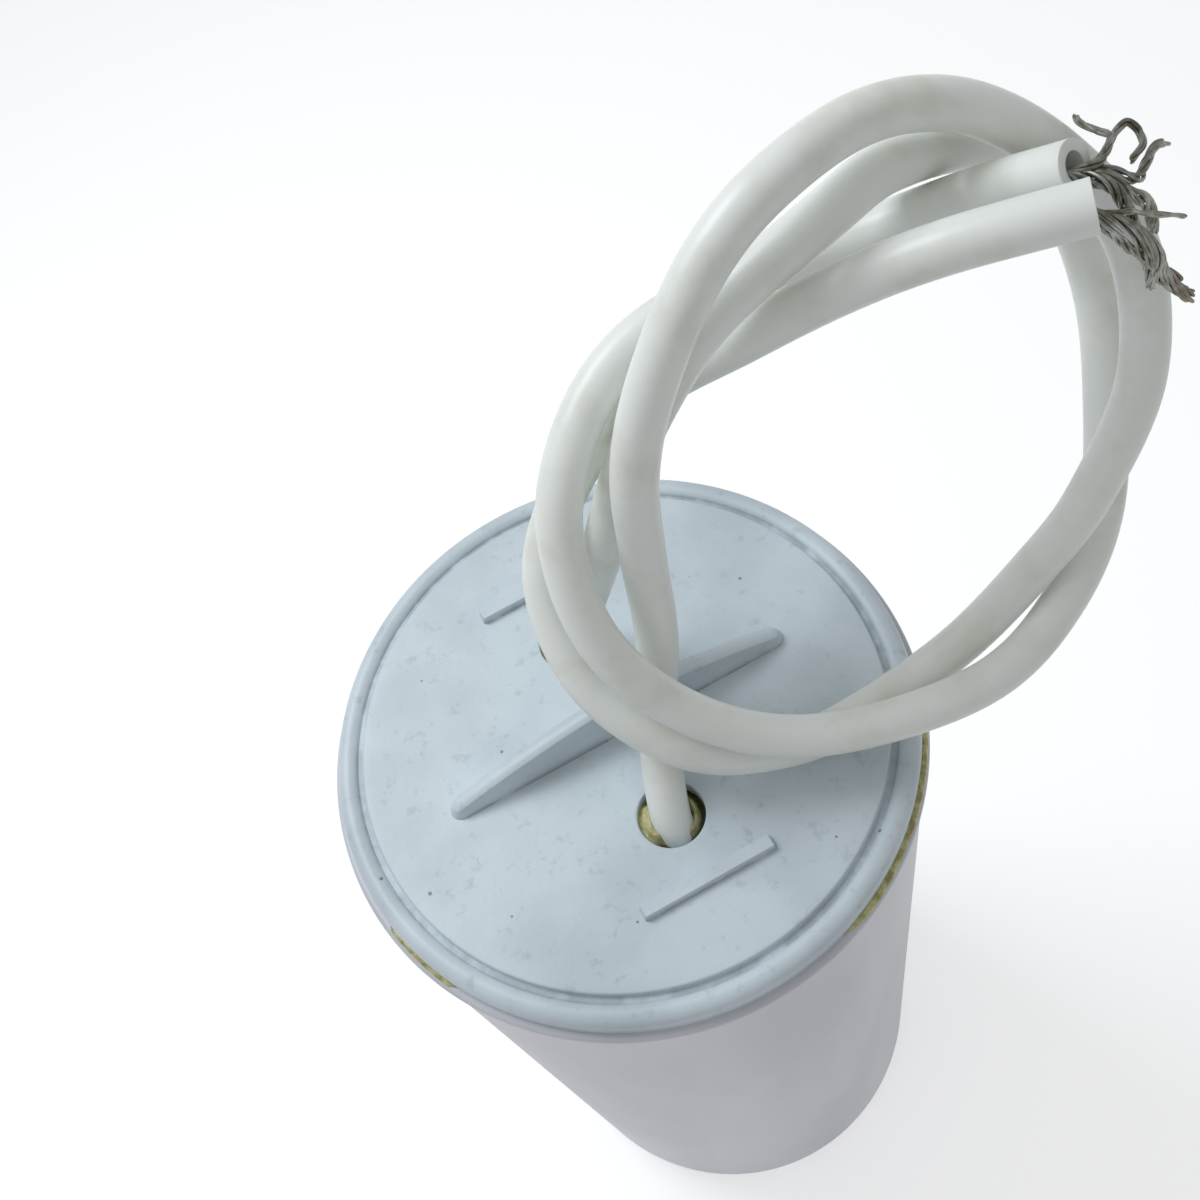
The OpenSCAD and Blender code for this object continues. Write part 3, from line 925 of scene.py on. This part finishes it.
@dataclass
class Lead:
    """One insulated lead with its cut end and its bare strands."""

    letter: str
    route: np.ndarray
    exit: tuple[float, float, float]
    wisps: list[Wisp] = field(default_factory=list)
    radius: float = 1.5 * MM
    bore: float = 0.85 * MM
    bore_depth: float = 1.0 * MM
    uneven: float = 0.006  # share of the radius
    strand_radius: float = 0.12 * MM
    rings: int = 420
    sides: int = 32
    strand_sides: int = 8

    def line(self) -> np.ndarray:
        """The lead's middle line in metres."""
        return curve_through((self.route + LID_TOP) * MM, self.rings)

    def insulation(self, finish: bpy.types.Material) -> bpy.types.Object:
        """Tube round the middle line, slightly uneven in thickness, hollow for 1 mm at its cut end.

        Its radius r varies as r (1 - w + w sin(way / 3.1 mm) sin(way / 7.7 mm)), w being 0.6 %.

        Args:
            finish: The insulation's material.

        Returns:
            The tube.
        """
        line = self.line()
        way = np.linspace(0.0, length_of(line), self.rings)
        wave = np.sin(way / (3.1 * MM)) * np.sin(way / (7.7 * MM))
        radius = self.radius * (1 - self.uneven + self.uneven * wave)
        outer = swept(line, radius, self.sides)
        tangent = carried_frames(line)[0][-1]
        edge = line[-1] + (outer[-1] - line[-1]) * 0.94 + tangent * 0.03 * MM
        back = max(1, int(self.bore_depth / way[1])) + 3
        middle = line[::-1][:back, None]
        inner = middle + (outer[::-1][:back] - middle) * (self.bore / self.radius)
        surface = Surface()
        surface.add_grid(np.concatenate([outer, edge[None], inner], axis=0))
        piece = surface.to_object("lead_insulation_" + self.letter)
        dress(piece, finish)
        return piece

    def strand_piece(self, finish: bpy.types.Material) -> bpy.types.Object:
        """All strands of the bare end.

        A strand winds round its wisp's line: point = line + offset (cos a side + sin a other side),
        where a grows along the line and the offset shrinks towards the tip.

        Args:
            finish: The strands' material.

        Returns:
            The strands as one piece.
        """
        surface = Surface()
        rng = np.random.default_rng(7 if self.letter == "a" else 11)
        for wisp in self.wisps:
            line = curve_through((np.array(wisp.route) + LID_TOP) * MM, 64)
            _, side, other = carried_frames(line)
            share = np.linspace(0, 1, len(line))[:, None]
            for k in range(wisp.strands):
                angle = 2 * np.pi * (k / wisp.strands + wisp.turns * share) + rng.uniform(-0.3, 0.3)
                offset = (wisp.spread * (1 - share) + wisp.tip * share) * rng.uniform(0.75, 1.2) * MM
                path = line + offset * (np.cos(angle) * side + np.sin(angle) * other)
                keep = int(len(path) * rng.uniform(0.9, 1.0))
                radius = np.full(keep, self.strand_radius)
                radius[-1] *= 0.6
                brown = smooth((share[:keep] - 0.75) / 0.25) * (0.8 if wisp.brown_tip else 0.0)
                surface.add_grid(swept(path[:keep], radius, self.strand_sides),
                                 value=np.repeat(brown, self.strand_sides, axis=1))
        piece = surface.to_object("bare_strands_" + self.letter)
        dress(piece, finish)
        return piece

    def build(self, insulation: bpy.types.Material, metal: bpy.types.Material) -> list[bpy.types.Object]:
        """Args:
            insulation: Material of the insulation.
            metal: Material of the strands.

        Returns:
            The tube and its strands.
        """
        tube, strands = self.insulation(insulation), self.strand_piece(metal)
        for piece, node, slot in ((tube, "lead_", Slot.LEAD), (strands, "bare_end_", Slot.STRANDS)):
            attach(piece, ROOT)
            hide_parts(node + self.letter)
        return [tube, strands]


# ---------------------------------------------------------------- inside


INNER_FINISHES = {
    "potting_resin": InnerFinish("cast_polyurethane", "#b9a15e", "#a88f4c", 4 * MM, 0.35),
    "bottom_pad": InnerFinish("moulded_polypropylene_pad", "#e6e6e2", "#dadad4", 3 * MM, 0.5),
    "top_insulator": InnerFinish("pressboard", "#cdbb95", "#bda97f", 0.8 * MM, 0.8),
    "film_winding": InnerFinish("metallised_film_roll", "#c3c8cc", "#a7adb2", 1 * MM, 0.3, 0.6,
                                (1, 1, 0.05)),
    "mandrel_tube": InnerFinish("extruded_polypropylene", "#e8e6dc", "#dcd9cb", 2 * MM, 0.45),
    "outer_wrap": InnerFinish("wrap_film", "#e4dfca", "#d8d2b9", 5 * MM, 0.25, 0.0, (1, 1, 0.3)),
    "end_spray_bottom": InnerFinish("sprayed_zinc", "#9a9fa2", "#7f8589", 0.3 * MM, 0.75, 0.7),
    "end_spray_top": InnerFinish("sprayed_zinc_top", "#9a9fa2", "#7f8589", 0.3 * MM, 0.75, 0.7),
    "return_strap": InnerFinish("tinned_strip", "#b6b9ba", "#a0a4a6", 1 * MM, 0.35, 0.9),
    "strap_sleeve": InnerFinish("polyester_sleeve", "#d2bf8d", "#c4b07b", 1 * MM, 0.4),
}
for joint in ("top", "strap_top", "strap_bottom"):
    INNER_FINISHES["solder_" + joint] = InnerFinish("solder_joint_" + joint, "#c0c3c5", "#a4a8ab",
                                                    0.6 * MM, 0.3, 0.9)


# ---------------------------------------------------------------- studio


@dataclass
class Studio:
    """Floor, one soft lamp, even light from all round, and the camera."""

    camera_at: tuple[float, float, float] = (-5.49, -42.96, 188.47)
    camera_right: tuple[float, float, float] = (0.87675, -0.45033, -0.16884)
    camera_down: tuple[float, float, float] = (-0.47365, -0.74759, -0.46558)
    lens: float = 41.4
    sensor: float = 36.0
    aim: tuple[float, float, float] = (0.0, 0.0, 0.08)
    floor_level: float = -0.2 * MM
    floor_middle: float = 10 * MM  # radius at which the floor's two meshes meet
    floor_glow: float = 0.45
    fill: float = 0.42  # strength of the light from all round
    backdrop: float = 1.0  # white, as the camera sees it

    def camera(self) -> None:
        """Camera with its three axes given as directions of the frame."""
        data = bpy.data.cameras.new("camera")
        data.lens, data.sensor_width = self.lens, self.sensor
        data.clip_start, data.clip_end = 0.005, 10.0
        camera = bpy.data.objects.new("camera", data)
        bpy.context.scene.collection.objects.link(camera)
        right = Vector(self.camera_right).normalized()
        up = -Vector(self.camera_down)
        up = (up - up.dot(right) * right).normalized()
        turned = Matrix((right, up, right.cross(up))).transposed().to_4x4()
        camera.matrix_world = Matrix.Translation(Vector(self.camera_at) * MM) @ turned
        bpy.context.scene.camera = camera

    def lamp(self, name: str, at: tuple[float, float, float], size: float, power: float, colour: str) -> None:
        """Square lamp that faces the lid.

        Args:
            name: Its name.
            at: Place in metres.
            size: Side in metres.
            power: Power in watts.
            colour: sRGB hex colour.
        """
        data = bpy.data.lights.new(name, "AREA")
        data.size, data.energy, data.color = size, power, linear(colour)[:3]
        lamp = bpy.data.objects.new(name, data)
        bpy.context.scene.collection.objects.link(lamp)
        lamp.location = at
        lamp.rotation_euler = (Vector(self.aim) - Vector(at)).to_track_quat("-Z", "Y").to_euler()

    def floor(self) -> None:
        """Pale floor that shows white where no shadow falls on it."""
        outer, middle = Surface(), Surface()
        reach = np.array([self.floor_middle, 0.3, 1.0, 3.0])
        flat = np.stack([reach, np.full(4, self.floor_level)], axis=1)
        outer.add_grid(revolved(flat, 64), capped=False)
        flat = np.stack([np.linspace(0.5 * MM, self.floor_middle, 3), np.full(3, self.floor_level)], axis=1)
        middle.add_grid(revolved(flat, 64))
        r = Recipe("pale_floor")
        path = add_node(r.tree, "LightPath")
        seen = r.math("MAXIMUM", path.outputs["Is Camera Ray"],
                      r.math("MAXIMUM", path.outputs["Is Glossy Ray"], path.outputs["Is Transmission Ray"]))
        r.shader.inputs["Base Color"].default_value = linear("#f4f5f6")
        r.shader.inputs["Roughness"].default_value = 0.9
        glow = add_node(r.tree, "Emission", {"Color": (1, 1, 1, 1), "Strength": self.floor_glow})
        lit = add_node(r.tree, "AddShader", {0: r.shader.outputs[0], 1: glow.outputs[0]})
        both = add_node(r.tree, "MixShader", {0: seen, 1: r.shader.outputs[0], 2: lit.outputs[0]})
        out = r.tree.nodes["Material Output"]
        r.tree.links.new(both.outputs[0], out.inputs["Surface"])
        for made, name in ((outer, "floor"), (middle, "floor_middle")):
            piece = made.to_object(name)
            dress(piece, r.material)

    def world(self) -> None:
        """Even soft light from all round, seen as white behind the object."""
        world = bpy.data.worlds.new("soft_world")
        bpy.context.scene.world = world
        world.use_nodes = True
        tree = world.node_tree
        path = add_node(tree, "LightPath")
        levels = {0: path.outputs["Is Camera Ray"], 3: self.fill, 4: self.backdrop}
        strength = add_node(tree, "MapRange", levels).outputs[0]
        sky = tree.nodes["Background"]
        sky.inputs["Color"].default_value = (1, 1, 1, 1)
        tree.links.new(strength, sky.inputs["Strength"])

    def build(self) -> None:
        """Sets up the whole studio."""
        bpy.context.scene.view_settings.view_transform = "Standard"
        self.camera()
        self.world()
        self.floor()
        self.lamp("window_lamp", (-0.075, 0.105, 0.27), 0.10, 0.24, "#f4faff")


WISPS_A = [
    Wisp([(31, -4.4, 38.3), (33, -5.5, 37), (34.5, -6, 35.5), (35.5, -6.5, 34), (36.5, -6.5, 31.5),
          (38, -7, 29.5), (39, -7, 28.5)], strands=9, spread=0.4, tip=0.25, brown_tip=True),
    Wisp([(31, -4.6, 38.2), (33, -5.2, 36.8), (34.5, -6, 35), (36, -6.5, 32.5), (37.5, -7, 30.5)],
         strands=7, spread=0.35, tip=0.3, brown_tip=True),
    Wisp([(31, -4.5, 38.3), (33.5, -5, 37), (34.5, -5, 36.5), (36.5, -5, 35), (38, -5, 34),
          (39, -5.5, 33.5)], strands=2, spread=0.12, tip=0.06),
    Wisp([(31, -4.5, 38.2), (33, -5, 36.5), (34, -5.5, 35), (35.5, -5.5, 33), (36.5, -5.5, 31),
          (37, -5.5, 29)], strands=6, spread=0.3, tip=0.2),
]
WISPS_B = [
    Wisp([(32.8, -1.2, 37), (34.5, -2, 37.5), (36, -1, 37), (37, 0, 36.5), (37, 1, 36), (37, 2.5, 35.5),
          (37.5, 3.5, 35)], strands=3, spread=0.18, tip=0.1),
    Wisp([(32.8, -1.2, 37), (35, -1.5, 37), (36.5, -0.5, 36.5), (38, 0.5, 36), (39, 1, 35.5), (39.5, 0.5, 35),
          (39, -0.5, 35), (38, -1, 35), (37, -1.5, 35.5)], strands=3, spread=0.16, tip=0.12),
    Wisp([(32.8, -1.2, 37), (35, -2.5, 37), (36.5, -3, 36), (38, -2, 35.5), (39.5, -1, 35), (41, -0.5, 34)],
         strands=4, spread=0.25, tip=0.12),
    Wisp([(32.8, -1.2, 37), (34.5, -3, 37), (35.5, -3.5, 36), (37, -3.5, 34.5), (38, -3.5, 32),
          (38, -3.5, 30.5)], strands=7, spread=0.35, tip=0.25),
    Wisp([(32.8, -1.2, 37), (34.2, -3.2, 37.2), (34.8, -4.6, 36), (35.4, -5.2, 34)],
         strands=6, spread=0.35, tip=0.2),
]


def main() -> None:
    """Builds every sub-assembly in turn."""
    logging.basicConfig(level=logging.INFO, format="%(message)s")
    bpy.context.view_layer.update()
    Studio().build()
    insulation, metal = LeadInsulation().build(), TinnedStrand().build()
    leads = (
        Lead("a", ROUTE_A, (0.0, -8.0 * MM, 94.0 * MM), WISPS_A),
        Lead("b", ROUTE_B, (0.0, 8.0 * MM, 94.0 * MM), WISPS_B),
    )
    for lead in leads:
        for piece in lead.build(insulation, metal):
            report(piece)
    report(Can().build())
    for piece in [*Lid().build(), *Glue().build()]:
        report(piece)
    for node, finish in INNER_FINISHES.items():
        dress(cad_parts[node], finish.build())
        report(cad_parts[node])
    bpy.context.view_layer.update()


if __name__ == "__main__":
    main()
